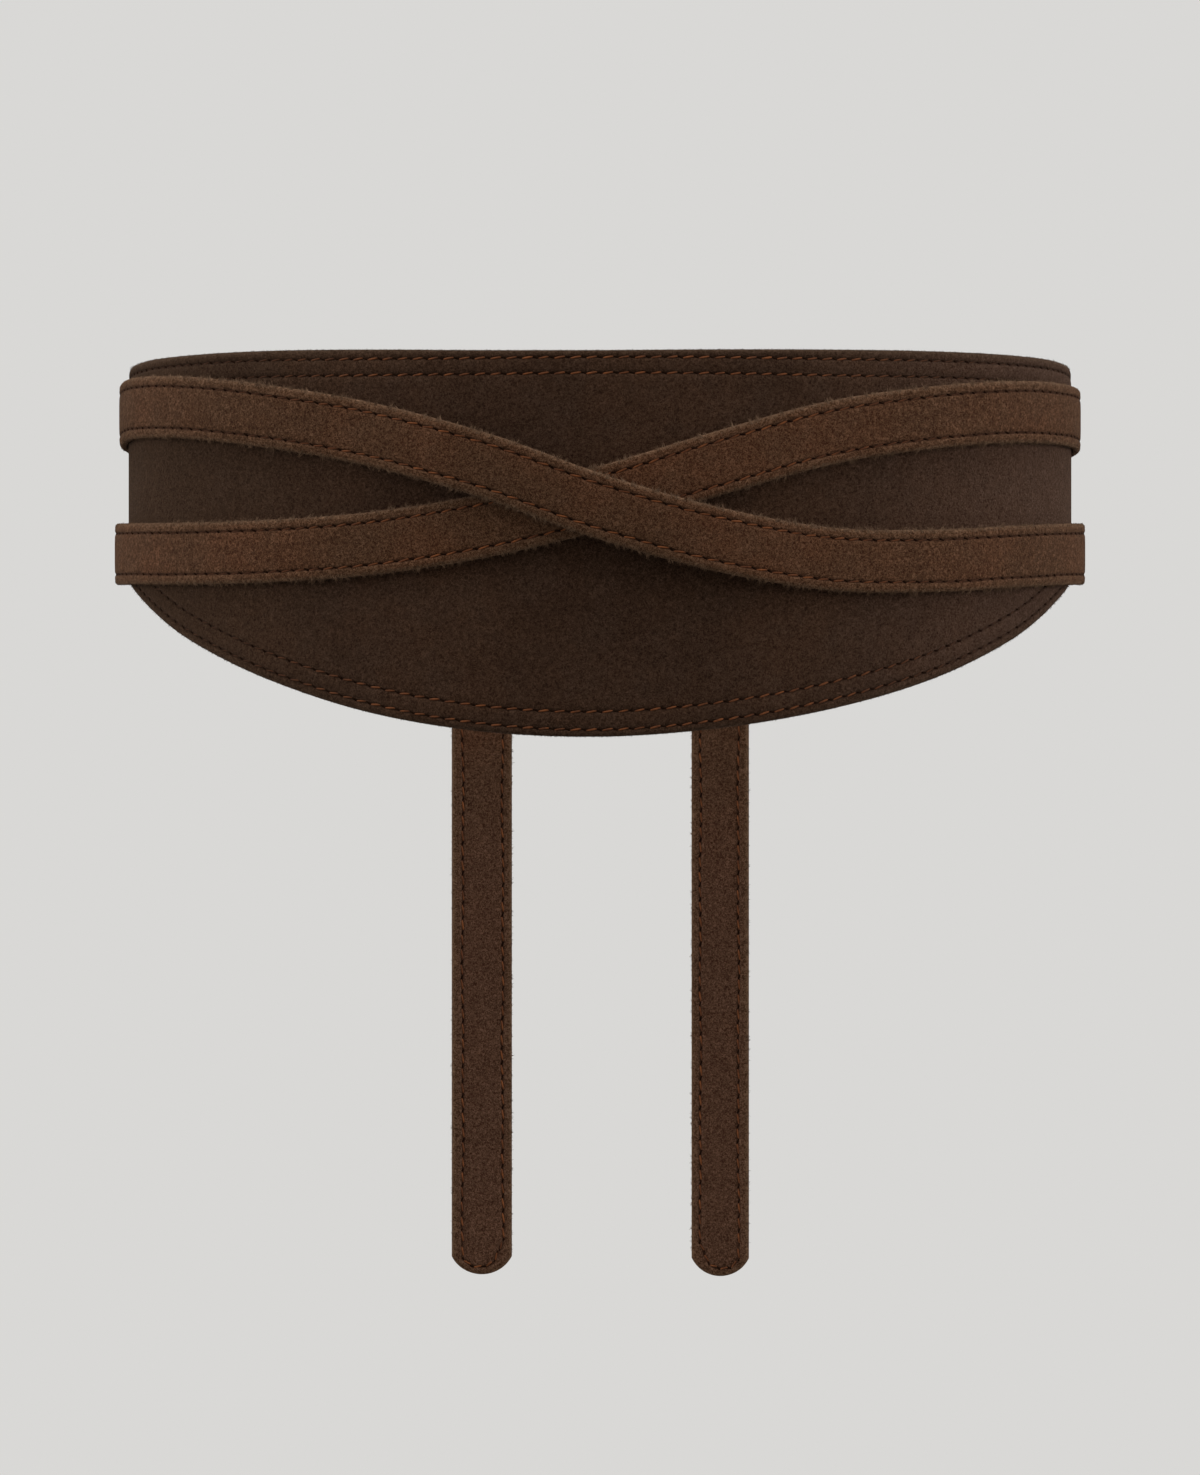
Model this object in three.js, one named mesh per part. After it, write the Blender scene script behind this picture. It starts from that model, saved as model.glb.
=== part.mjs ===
// A suede cummerbund in its worn ring shape: a front panel, two straps that cross in front of it and
// hang down as tails behind, and a plain loop at the back that keeps the straps together.
// Millimetres, +Z up, front towards -Y. The origin is on the axis of the waist, 50 above the lowest
// edge of the panel.
import * as THREE from 'three';
import { mergeVertices } from 'three/addons/utils/BufferGeometryUtils.js';

// The waist, an ellipse through the panel's outer face
const WAIST_HALF_WIDTH = 125;
const WAIST_HALF_DEPTH = 95;
const WAIST_STEPS = 2000;

// Leather
const PANEL_THICKNESS = 2.4;
const STRAP_THICKNESS = 2.2;
const STRAP_WIDTH = 16;
const GAP = 0.3;
// A strap runs uphill from its sewn start, so its square end leans, with its nearest corner a GAP away
const SEAM_GAP = 1.1;

// Layers: how far a strap's inner face stands out from the panel's inner face
const LAYER_BUTTED = 0.1;
const LAYER_ON_PANEL = PANEL_THICKNESS + GAP;
const LAYER_ON_STRAP = LAYER_ON_PANEL + STRAP_THICKNESS + GAP;
const LAYER_PUSHED_OUT = 3.9;

// The panel's edges. arc runs round the waist from the centre of the front, positive to the right.
const PANEL_EDGES = [
  { arc: -224, top: 17.0, bottom: -1.0 },
  { arc: -212, top: 27.0, bottom: -2.6 },
  { arc: -196, top: 38.5, bottom: -4.8 },
  { arc: -174, top: 46.3, bottom: -8.0 },
  { arc: -150, top: 48.5, bottom: -13.5 },
  { arc: -120, top: 49.4, bottom: -25.0 },
  { arc: -90, top: 49.7, bottom: -35.5 },
  { arc: -60, top: 49.4, bottom: -43.8 },
  { arc: -30, top: 48.9, bottom: -48.5 },
  { arc: 0, top: 48.8, bottom: -49.8 },
  { arc: 30, top: 49.1, bottom: -47.7 },
  { arc: 60, top: 49.4, bottom: -42.9 },
  { arc: 90, top: 49.6, bottom: -35.4 },
  { arc: 120, top: 49.4, bottom: -25.1 },
  { arc: 150, top: 48.6, bottom: -13.5 },
  { arc: 174, top: 46.3, bottom: -8.0 },
  { arc: 196, top: 38.5, bottom: -4.8 },
  { arc: 212, top: 27.0, bottom: -2.6 },
  { arc: 224, top: 17.0, bottom: -1.0 },
];
const PANEL_END = 224;
const PANEL_STEPS = 80;
const PANEL_ROWS_ACROSS = 6;

// The folds and tails at the back
const FOLD_RADIUS = 1.4;
const FOLD_STEPS = 8;
const FOLD_HEIGHT = -0.5;
const FOLD_SHEAR_LENGTH = 24;
const TAIL_TIP_HEIGHT = -198.3;
const TAIL_END_RADIUS = 8.9;
const TAIL_END_STEPS = 6;
const TAIL_TIP_HALF_WIDTH = 0.9;
const STRAP_STEP = 6;
const TAIL_STEP = 14;
const STRAP_CELLS_ACROSS = 2;

const waistAngles = arcTable();
const CIRCUMFERENCE = 2 * waistAngles[WAIST_STEPS].arc;
const STRAP_START = PANEL_END + SEAM_GAP - CIRCUMFERENCE;

// Each strap's route: arc is counted the way the strap runs, from its sewn start at the panel's end,
// through the back, one side, the front, the other side and the back again, to its fold.
// tailFromBackCentre is an arc on the waist itself, so it is less for the tail that hangs further out.
const STRAPS = {
  strap_over: {
    direction: 1,
    tailFromBackCentre: 31.5,
    foldSide: 1,
    colour: 0x654838,
    route: [
      { arc: STRAP_START, height: 8.0 },
      { arc: -347.2, height: 19.8 },
      { arc: -260, height: 27.7 },
      { arc: -174, height: 34.8 },
      { arc: -150, height: 36.4 },
      { arc: -120, height: 35.7 },
      { arc: -90, height: 32.7 },
      { arc: -60, height: 27.7 },
      { arc: -30, height: 19.7 },
      { arc: 0, height: 8.8 },
      { arc: 30, height: 0.4 },
      { arc: 60, height: -4.3 },
      { arc: 90, height: -4.5 },
      { arc: 120, height: -3.0 },
      { arc: 150, height: -1.8 },
      { arc: 174, height: -1.4 },
      { arc: 250, height: -0.7 },
      { arc: 330, height: FOLD_HEIGHT },
    ],
    layers: [
      { arc: -467.5, layer: LAYER_BUTTED },
      { arc: -448, layer: LAYER_ON_PANEL },
      { arc: -68, layer: LAYER_ON_PANEL },
      { arc: -36, layer: LAYER_ON_STRAP },
      { arc: 29, layer: LAYER_ON_STRAP },
      { arc: 61, layer: LAYER_ON_PANEL },
      { arc: 120, layer: LAYER_ON_PANEL },
      { arc: 174, layer: LAYER_PUSHED_OUT },
      { arc: 222, layer: LAYER_ON_STRAP },
    ],
  },
  strap_under: {
    direction: -1,
    tailFromBackCentre: 33.6,
    foldSide: -1,
    colour: 0x634637,
    route: [
      { arc: STRAP_START, height: 8.0 },
      { arc: -347.2, height: 19.8 },
      { arc: -260, height: 26.8 },
      { arc: -174, height: 33.6 },
      { arc: -150, height: 34.6 },
      { arc: -120, height: 34.6 },
      { arc: -90, height: 32.4 },
      { arc: -60, height: 28.0 },
      { arc: -30, height: 19.9 },
      { arc: 0, height: 10.9 },
      { arc: 30, height: 3.9 },
      { arc: 60, height: -0.4 },
      { arc: 90, height: -2.0 },
      { arc: 120, height: -2.2 },
      { arc: 150, height: -1.7 },
      { arc: 174, height: -1.4 },
      { arc: 250, height: -0.7 },
      { arc: 330, height: FOLD_HEIGHT },
    ],
    layers: [
      { arc: -247, layer: LAYER_BUTTED },
      { arc: -227, layer: LAYER_ON_PANEL },
      { arc: 120, layer: LAYER_ON_PANEL },
      { arc: 174, layer: LAYER_PUSHED_OUT },
      { arc: 222, layer: LAYER_ON_PANEL },
    ],
  },
};

// The loop at the centre of the back, round both straps
const KEEPER_WIDTH = 12;
const KEEPER_THICKNESS = 1.6;
const KEEPER_CORNER = 0.6;
const KEEPER_CORNER_STEPS = 4;

// Arc lengths round half the waist, from the centre of the front to the centre of the back
function arcTable() {
  const table = [{ angle: 0, arc: 0 }];
  for (let i = 1; i <= WAIST_STEPS; i += 1) {
    const angle = (Math.PI * i) / WAIST_STEPS;
    const middle = angle - Math.PI / WAIST_STEPS / 2;
    const speed = Math.hypot(WAIST_HALF_WIDTH * Math.cos(middle), WAIST_HALF_DEPTH * Math.sin(middle));
    table.push({ angle, arc: table[i - 1].arc + (speed * Math.PI) / WAIST_STEPS });
  }
  return table;
}

// The angle on the waist's ellipse at an arc length of either sign, however far round
function waistAngle(arc) {
  const turns = Math.round(arc / CIRCUMFERENCE);
  const left = arc - turns * CIRCUMFERENCE;
  const target = Math.abs(left);
  let low = 0;
  let high = WAIST_STEPS;
  while (high - low > 1) {
    const middle = Math.floor((low + high) / 2);
    if (waistAngles[middle].arc > target) high = middle;
    else low = middle;
  }
  const before = waistAngles[low];
  const after = waistAngles[high];
  const share = (target - before.arc) / (after.arc - before.arc);
  return Math.sign(left) * (before.angle + share * (after.angle - before.angle));
}

// A point at an arc length, a height and a layer, which counts outwards from the panel's inner face
function onWaist(arc, height, layer) {
  const angle = waistAngle(arc);
  const out = new THREE.Vector2(Math.sin(angle) / WAIST_HALF_WIDTH, -Math.cos(angle) / WAIST_HALF_DEPTH);
  out.normalize().multiplyScalar(layer - PANEL_THICKNESS);
  const x = WAIST_HALF_WIDTH * Math.sin(angle) + out.x;
  const y = -WAIST_HALF_DEPTH * Math.cos(angle) + out.y;
  return new THREE.Vector3(x, y, height);
}

// The two rows of a table on either side of an arc length, and the share of the way between them
function tableSpan(table, arc) {
  const last = table.length - 2;
  let index = table.findIndex((row, i) => i > 0 && arc <= row.arc) - 1;
  if (index < 0) index = arc <= table[0].arc ? 0 : last;
  const length = table[index + 1].arc - table[index].arc;
  const share = THREE.MathUtils.clamp((arc - table[index].arc) / length, 0, 1);
  return { index, length, share };
}

// The slope of a column at a row, from its two neighbours
function slopeAt(table, column, index) {
  const before = table[Math.max(index - 1, 0)];
  const after = table[Math.min(index + 1, table.length - 1)];
  return (after[column] - before[column]) / (after.arc - before.arc);
}

// A column read as one smooth curve through its rows
function smoothValue(table, column, arc) {
  const { index, length, share } = tableSpan(table, arc);
  const from = table[index][column];
  const to = table[index + 1][column];
  const leave = slopeAt(table, column, index) * length;
  const arrive = slopeAt(table, column, index + 1) * length;
  const t2 = share * share;
  const t3 = t2 * share;
  return (2 * t3 - 3 * t2 + 1) * from + (t3 - 2 * t2 + share) * leave
    + (3 * t2 - 2 * t3) * to + (t3 - t2) * arrive;
}

// A column read as level stretches with an eased ramp between rows that differ
function easedValue(table, column, arc) {
  const { index, share } = tableSpan(table, arc);
  const ease = THREE.MathUtils.smoothstep(share, 0, 1);
  return THREE.MathUtils.lerp(table[index][column], table[index + 1][column], ease);
}

// A closed wall from rows of inner and outer points, all with the same number of points across
function wallGeometry(innerRows, outerRows, mirrored) {
  const lengthCells = innerRows.length - 1;
  const acrossCells = innerRows[0].length - 1;
  const points = [...innerRows.flat(), ...outerRows.flat()];
  const inner = (i, j) => i * (acrossCells + 1) + j;
  const outer = (i, j) => innerRows.length * (acrossCells + 1) + inner(i, j);
  const faces = [];
  const quad = (a, b, c, d) => {
    const corners = mirrored ? [a, c, b, a, d, c] : [a, b, c, a, c, d];
    faces.push(...corners);
  };
  for (let i = 0; i < lengthCells; i += 1) {
    for (let j = 0; j < acrossCells; j += 1) {
      quad(outer(i, j), outer(i + 1, j), outer(i + 1, j + 1), outer(i, j + 1));
      quad(inner(i, j), inner(i, j + 1), inner(i + 1, j + 1), inner(i + 1, j));
    }
    quad(inner(i, 0), inner(i + 1, 0), outer(i + 1, 0), outer(i, 0));
    quad(outer(i, acrossCells), outer(i + 1, acrossCells), inner(i + 1, acrossCells), inner(i, acrossCells));
  }
  for (let j = 0; j < acrossCells; j += 1) {
    quad(inner(0, j), outer(0, j), outer(0, j + 1), inner(0, j + 1));
    quad(outer(lengthCells, j), inner(lengthCells, j), inner(lengthCells, j + 1), outer(lengthCells, j + 1));
  }
  const geometry = new THREE.BufferGeometry();
  geometry.setAttribute('position', new THREE.Float32BufferAttribute(points.flatMap((p) => p.toArray()), 3));
  geometry.setIndex(faces);
  geometry.computeVertexNormals();
  return geometry;
}

function panelGeometry() {
  const innerRows = [];
  const outerRows = [];
  for (let i = 0; i <= PANEL_STEPS; i += 1) {
    const arc = THREE.MathUtils.lerp(-PANEL_END, PANEL_END, i / PANEL_STEPS);
    const top = smoothValue(PANEL_EDGES, 'top', arc);
    const bottom = smoothValue(PANEL_EDGES, 'bottom', arc);
    const heights = [];
    for (let j = 0; j <= PANEL_ROWS_ACROSS; j += 1) {
      heights.push(THREE.MathUtils.lerp(bottom, top, j / PANEL_ROWS_ACROSS));
    }
    innerRows.push(heights.map((height) => onWaist(arc, height, 0)));
    outerRows.push(heights.map((height) => onWaist(arc, height, PANEL_THICKNESS)));
  }
  return wallGeometry(innerRows, outerRows, false);
}

// Cuts a stretch into equal steps no longer than the one given, without its first point
function steps(from, to, longest) {
  const count = Math.ceil((to - from) / longest);
  return Array.from({ length: count }, (_, i) => THREE.MathUtils.lerp(from, to, (i + 1) / count));
}

// The lines across a flat strap: where each is, how far it leans, and half the strap's width there
function strapLines(foldArc) {
  const foldEnd = foldArc + Math.SQRT2 * Math.PI * FOLD_RADIUS;
  const tip = foldArc + FOLD_HEIGHT + (Math.PI * FOLD_RADIUS) / Math.SQRT2 - TAIL_TIP_HEIGHT;
  const half = STRAP_WIDTH / 2;
  const cornerAngle = Math.asin(half / TAIL_END_RADIUS);
  const corner = tip - TAIL_END_RADIUS * (1 - Math.cos(cornerAngle));
  const alongs = [
    STRAP_START,
    ...steps(STRAP_START, foldArc - FOLD_SHEAR_LENGTH, STRAP_STEP),
    ...steps(foldArc - FOLD_SHEAR_LENGTH, foldArc, STRAP_STEP / 2),
    ...steps(foldArc, foldEnd, (foldEnd - foldArc) / FOLD_STEPS),
    ...steps(foldEnd, foldEnd + FOLD_SHEAR_LENGTH, STRAP_STEP / 2),
    ...steps(foldEnd + FOLD_SHEAR_LENGTH, corner, TAIL_STEP),
  ];
  const lines = alongs.map((along) => {
    const away = Math.max(foldArc - along, along - foldEnd, 0);
    return { along, lean: 1 - THREE.MathUtils.smoothstep(away, 0, FOLD_SHEAR_LENGTH), half };
  });
  const tipAngle = Math.asin(TAIL_TIP_HALF_WIDTH / TAIL_END_RADIUS);
  for (let i = 1; i <= TAIL_END_STEPS; i += 1) {
    const angle = THREE.MathUtils.lerp(cornerAngle, tipAngle, i / TAIL_END_STEPS);
    lines.push({
      along: tip - TAIL_END_RADIUS * (1 - Math.cos(angle)),
      lean: 0,
      half: TAIL_END_RADIUS * Math.sin(angle),
    });
  }
  return lines;
}

// The arc length at which a strap's centre line reaches its fold
function foldArcOf(strap) {
  return CIRCUMFERENCE / 2 + strap.tailFromBackCentre - (Math.PI * FOLD_RADIUS) / Math.SQRT2;
}

// A point of a strap that still lies along its route: across is up from its centre line
function beforeFold(strap, along, across, depth) {
  const nearby = 1;
  const rise = smoothValue(strap.route, 'height', along + nearby)
    - smoothValue(strap.route, 'height', along - nearby);
  const slope = Math.atan2(rise, 2 * nearby);
  const height = smoothValue(strap.route, 'height', along) + across * Math.cos(slope);
  const layer = easedValue(strap.layers, 'layer', along) + depth;
  return onWaist(strap.direction * (along - across * Math.sin(slope)), height, layer);
}

// A point of a strap past its 45 degree fold line: it rolls round the fold and then hangs down
function afterFold(strap, along, across, depth) {
  const foldArc = foldArcOf(strap);
  const past = (along - foldArc + across) / Math.SQRT2;
  const sideways = (along - foldArc - across) / Math.SQRT2;
  const halfTurn = Math.PI * FOLD_RADIUS;
  const turn = Math.min(past / FOLD_RADIUS, Math.PI);
  const fromMiddle = strap.foldSide * (depth - STRAP_THICKNESS / 2);
  const over = (FOLD_RADIUS - fromMiddle) * Math.sin(turn) - Math.max(past - halfTurn, 0);
  const rise = FOLD_RADIUS - (FOLD_RADIUS - fromMiddle) * Math.cos(turn);
  const layer = easedValue(strap.layers, 'layer', foldArc) + STRAP_THICKNESS / 2 + strap.foldSide * rise;
  const arc = foldArc + (sideways + over) / Math.SQRT2;
  return onWaist(strap.direction * arc, FOLD_HEIGHT + (over - sideways) / Math.SQRT2, layer);
}

function strapGeometry(strap) {
  const foldArc = foldArcOf(strap);
  const innerRows = [];
  const outerRows = [];
  for (const line of strapLines(foldArc)) {
    const inner = [];
    const outer = [];
    for (let j = 0; j <= STRAP_CELLS_ACROSS; j += 1) {
      const across = THREE.MathUtils.lerp(-line.half, line.half, j / STRAP_CELLS_ACROSS);
      const along = line.along - line.lean * across;
      const place = along + across > foldArc ? afterFold : beforeFold;
      inner.push(place(strap, along, across, 0));
      outer.push(place(strap, along, across, STRAP_THICKNESS));
    }
    innerRows.push(inner);
    outerRows.push(outer);
  }
  return wallGeometry(innerRows, outerRows, strap.direction < 0);
}

// A rectangle with round corners, as a shape or as the hole in one
function roundedRectangle(outline, halfWidth, halfHeight, corner) {
  const across = halfWidth - corner;
  const up = halfHeight - corner;
  outline.moveTo(-across, -halfHeight);
  outline.lineTo(across, -halfHeight);
  outline.absarc(across, -up, corner, -Math.PI / 2, 0, false);
  outline.absarc(across, up, corner, 0, Math.PI / 2, false);
  outline.absarc(-across, up, corner, Math.PI / 2, Math.PI, false);
  outline.absarc(-across, -up, corner, Math.PI, Math.PI * 1.5, false);
  return outline;
}

// The loop's centre stands behind the waist, where the two straps lie one on the other
function makeKeeper() {
  const holeHalfDepth = (LAYER_ON_STRAP + STRAP_THICKNESS - LAYER_ON_PANEL) / 2 + GAP;
  const holeHalfHeight = STRAP_WIDTH / 2 + GAP;
  const centreLayer = (LAYER_ON_PANEL + LAYER_ON_STRAP + STRAP_THICKNESS) / 2;
  const shape = roundedRectangle(
    new THREE.Shape(),
    holeHalfDepth + KEEPER_THICKNESS,
    holeHalfHeight + KEEPER_THICKNESS,
    KEEPER_CORNER + KEEPER_THICKNESS,
  );
  shape.holes.push(roundedRectangle(new THREE.Path(), holeHalfDepth, holeHalfHeight, KEEPER_CORNER));
  const extruded = new THREE.ExtrudeGeometry(shape, {
    depth: KEEPER_WIDTH,
    bevelEnabled: false,
    curveSegments: KEEPER_CORNER_STEPS,
  });
  extruded.deleteAttribute('normal');
  extruded.deleteAttribute('uv');
  const geometry = mergeVertices(extruded);
  geometry.computeVertexNormals();
  const mesh = makeMesh('back_keeper', geometry, 0x5e4335);
  const basis = new THREE.Matrix4().makeBasis(
    new THREE.Vector3(0, 1, 0),
    new THREE.Vector3(0, 0, 1),
    new THREE.Vector3(1, 0, 0),
  );
  mesh.quaternion.setFromRotationMatrix(basis);
  mesh.position.copy(onWaist(CIRCUMFERENCE / 2, FOLD_HEIGHT, centreLayer));
  mesh.position.x = -KEEPER_WIDTH / 2;
  return mesh;
}

function makeMesh(name, geometry, colour) {
  const suede = new THREE.MeshStandardMaterial({ color: colour, roughness: 0.95, metalness: 0 });
  const mesh = new THREE.Mesh(geometry, suede);
  mesh.name = name;
  return mesh;
}

const cummerbund = new THREE.Group();
cummerbund.add(makeMesh('panel', panelGeometry(), 0x2f211a));
for (const [name, strap] of Object.entries(STRAPS)) {
  cummerbund.add(makeMesh(name, strapGeometry(strap), strap.colour));
}
cummerbund.add(makeKeeper());

export default cummerbund;
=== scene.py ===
import math

import bpy
import numpy as np
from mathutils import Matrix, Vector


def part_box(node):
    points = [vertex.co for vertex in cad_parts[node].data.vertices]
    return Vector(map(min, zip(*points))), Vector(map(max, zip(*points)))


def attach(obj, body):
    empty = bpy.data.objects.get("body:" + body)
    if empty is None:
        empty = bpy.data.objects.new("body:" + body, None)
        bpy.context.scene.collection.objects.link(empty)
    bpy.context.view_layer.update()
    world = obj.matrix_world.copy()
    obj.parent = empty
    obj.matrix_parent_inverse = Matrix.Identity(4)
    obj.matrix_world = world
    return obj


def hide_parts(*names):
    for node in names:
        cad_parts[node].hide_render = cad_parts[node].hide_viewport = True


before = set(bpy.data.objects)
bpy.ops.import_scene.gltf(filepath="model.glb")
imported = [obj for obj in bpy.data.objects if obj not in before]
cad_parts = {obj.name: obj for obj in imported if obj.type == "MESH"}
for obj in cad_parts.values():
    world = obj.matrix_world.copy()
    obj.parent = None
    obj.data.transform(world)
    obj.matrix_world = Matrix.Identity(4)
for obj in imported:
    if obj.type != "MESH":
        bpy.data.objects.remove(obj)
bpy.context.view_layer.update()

# The view: a level camera 2.4 m in front of the waist's axis, level with the panel's lowest edge,
# with a long lens, as in a plain catalogue photograph of a worn sash.
CAMERA_DISTANCE = 2.4
CAMERA_HEIGHT = -0.05
IMAGE_HEIGHT = 1475
METRES_PER_PIXEL = 0.0002654
SENSOR = 36.0
camera_data = bpy.data.cameras.new("camera")
camera_data.sensor_width = SENSOR
camera_data.lens = SENSOR * CAMERA_DISTANCE / (IMAGE_HEIGHT * METRES_PER_PIXEL)
camera = bpy.data.objects.new("camera", camera_data)
camera.location = (0.0, -CAMERA_DISTANCE, CAMERA_HEIGHT)
camera.rotation_euler = (math.radians(90), 0.0, 0.0)
bpy.context.collection.objects.link(camera)
bpy.context.scene.camera = camera


# The front panel: one piece of dark brown suede, 2.4 mm thick, cut to a long oval with a level top and
# bent round the waist. Its edges are cut and left raw, and it tapers at the sides to where the straps
# are sewn on.
WAIST_HALF_WIDTH = 0.125
WAIST_HALF_DEPTH = 0.095
PANEL_THICKNESS = 0.0024
PANEL_END = 0.224
PANEL_STEP = 0.001
PANEL_INSIDE_STEPS = 18
# Each row: arc round the waist from the centre of the front, height of the top edge, of the lower edge
PANEL_EDGES = np.array([
    (-0.224, 0.0170, -0.0010),
    (-0.212, 0.0270, -0.0026),
    (-0.196, 0.0385, -0.0048),
    (-0.174, 0.0463, -0.0080),
    (-0.150, 0.0485, -0.0135),
    (-0.120, 0.0494, -0.0250),
    (-0.090, 0.0497, -0.0355),
    (-0.060, 0.0494, -0.0438),
    (-0.030, 0.0489, -0.0485),
    (0.000, 0.0488, -0.0498),
    (0.030, 0.0491, -0.0477),
    (0.060, 0.0494, -0.0429),
    (0.090, 0.0496, -0.0354),
    (0.120, 0.0494, -0.0251),
    (0.150, 0.0486, -0.0135),
    (0.174, 0.0463, -0.0080),
    (0.196, 0.0385, -0.0048),
    (0.212, 0.0270, -0.0026),
    (0.224, 0.0170, -0.0010),
])
# From the flat of the panel to its cut edge and round it: distance in from the edge, and how far the
# leather is pressed in from its outer face, by the two rows of stitches and by the cut
PANEL_OUTER_RIM = np.array([
    (0.0078, 0.00000),
    (0.0068, 0.00003),
    (0.00625, 0.00012),
    (0.0060, 0.00024),
    (0.0058, 0.00034),
    (0.0056, 0.00024),
    (0.00535, 0.00012),
    (0.0046, 0.00003),
    (0.0028, 0.00005),
    (0.00225, 0.00014),
    (0.0020, 0.00026),
    (0.0018, 0.00036),
    (0.0016, 0.00026),
    (0.00135, 0.00015),
    (0.0008, 0.00013),
    (0.0004, 0.00026),
    (0.00012, 0.00052),
    (0.0, 0.00090),
])
OUTER_ROW, INNER_ROW = 0.0018, 0.0058
PANEL_RIM_DEPTH = 0.0078
# The stitching was sewn a little further in at the sides than at the middle, in full past DRIFT_ARC, and
# the lower edge's inner row stands a little further in all along
OUTER_ROW_DRIFT = 0.0007
INNER_ROW_DRIFT_TOP = 0.0009
INNER_ROW_DRIFT_LOW = 0.0004
INNER_ROW_SHIFT_LOW = 0.0006
MOST_DRIFT = 0.0010
DRIFT_ARC = 0.075
# An inset is measured square to the edge, so on a steep edge it is longer in height, up to most of the
# way to the middle
SLANT_STEP = 0.0005
MOST_OF_HALF_HEIGHT = 0.95
STITCH_GROOVE_WIDTH = 0.0003
PANEL_INNER_RIM = np.array([
    (0.0, 0.00070),
    (0.00012, 0.00035),
    (0.0005, 0.00010),
    (0.0018, 0.00004),
    (0.0058, 0.00000),
])

half_turn = np.linspace(0.0, math.pi, 4001)
turn_middles = (half_turn[1:] + half_turn[:-1]) / 2
turn_speeds = np.hypot(WAIST_HALF_WIDTH * np.cos(turn_middles), WAIST_HALF_DEPTH * np.sin(turn_middles))
turn_arcs = np.concatenate([[0.0], np.cumsum(turn_speeds) * (half_turn[1] - half_turn[0])])
CIRCUMFERENCE = 2 * turn_arcs[-1]


def on_waist(arc, height, layer):
    """Points at an arc length, a height and a layer counted outwards from the panel's inner face."""
    turned = np.mod(arc + CIRCUMFERENCE / 2, CIRCUMFERENCE) - CIRCUMFERENCE / 2
    angle = np.sign(turned) * np.interp(np.abs(turned), turn_arcs, half_turn)
    out_x, out_y = np.sin(angle) / WAIST_HALF_WIDTH, -np.cos(angle) / WAIST_HALF_DEPTH
    out = (layer - PANEL_THICKNESS) / np.hypot(out_x, out_y)
    x = WAIST_HALF_WIDTH * np.sin(angle) + out * out_x
    y = -WAIST_HALF_DEPTH * np.cos(angle) + out * out_y
    return np.stack(np.broadcast_arrays(x, y, height), axis=-1)


def smooth_curve(knots, values, at):
    """One smooth curve through a table's rows."""
    slopes = np.empty(len(values))
    slopes[1:-1] = (values[2:] - values[:-2]) / (knots[2:] - knots[:-2])
    slopes[0] = (values[1] - values[0]) / (knots[1] - knots[0])
    slopes[-1] = (values[-1] - values[-2]) / (knots[-1] - knots[-2])
    i = np.clip(np.searchsorted(knots, at) - 1, 0, len(knots) - 2)
    length = knots[i + 1] - knots[i]
    t = np.clip((at - knots[i]) / length, 0.0, 1.0)
    from_value, to_value = values[i], values[i + 1]
    leave, arrive = slopes[i] * length, slopes[i + 1] * length
    return ((2 * t**3 - 3 * t**2 + 1) * from_value + (t**3 - 2 * t**2 + t) * leave
            + (3 * t**2 - 2 * t**3) * to_value + (t**3 - t**2) * arrive)


def panel_edges(arc):
    """The heights of the panel's top and lower edges."""
    return [smooth_curve(PANEL_EDGES[:, 0], PANEL_EDGES[:, column], arc) for column in (1, 2)]


def panel_height(arc, share, inset):
    """A height on the panel: share runs from the lower edge to the top, inset goes in square to the edge."""
    top, bottom = panel_edges(arc)
    next_top, next_bottom = panel_edges(arc + SLANT_STEP)
    low = share < 0.5
    slant = np.hypot(1.0, np.where(low, next_bottom - bottom, next_top - top) / SLANT_STEP)
    most = MOST_OF_HALF_HEIGHT * (top - bottom) / 2 / (PANEL_RIM_DEPTH + MOST_DRIFT)
    aside = np.clip(np.abs(arc) / DRIFT_ARC, 0.0, 1.0)
    aside = aside * aside * (3 - 2 * aside)
    outer_row = OUTER_ROW + OUTER_ROW_DRIFT * aside
    inner_drift = np.where(low, INNER_ROW_SHIFT_LOW + INNER_ROW_DRIFT_LOW * aside,
                           INNER_ROW_DRIFT_TOP * aside)
    inner_row = INNER_ROW + inner_drift
    between_rows = (inset - OUTER_ROW) / (INNER_ROW - OUTER_ROW)
    moved = np.where(inset < OUTER_ROW, inset / OUTER_ROW * outer_row,
                     np.where(inset < INNER_ROW, outer_row + between_rows * (inner_row - outer_row),
                              inner_row + inset - INNER_ROW))
    return bottom + (top - bottom) * share + np.where(low, 1.0, -1.0) * moved * np.minimum(slant, most)


def panel_place(arc, share, inset, layer):
    return on_waist(arc, panel_height(arc, share, inset), layer)


def add_piece(name, mesh):
    piece = bpy.data.objects.new(name, mesh)
    bpy.context.collection.objects.link(piece)
    return piece


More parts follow.
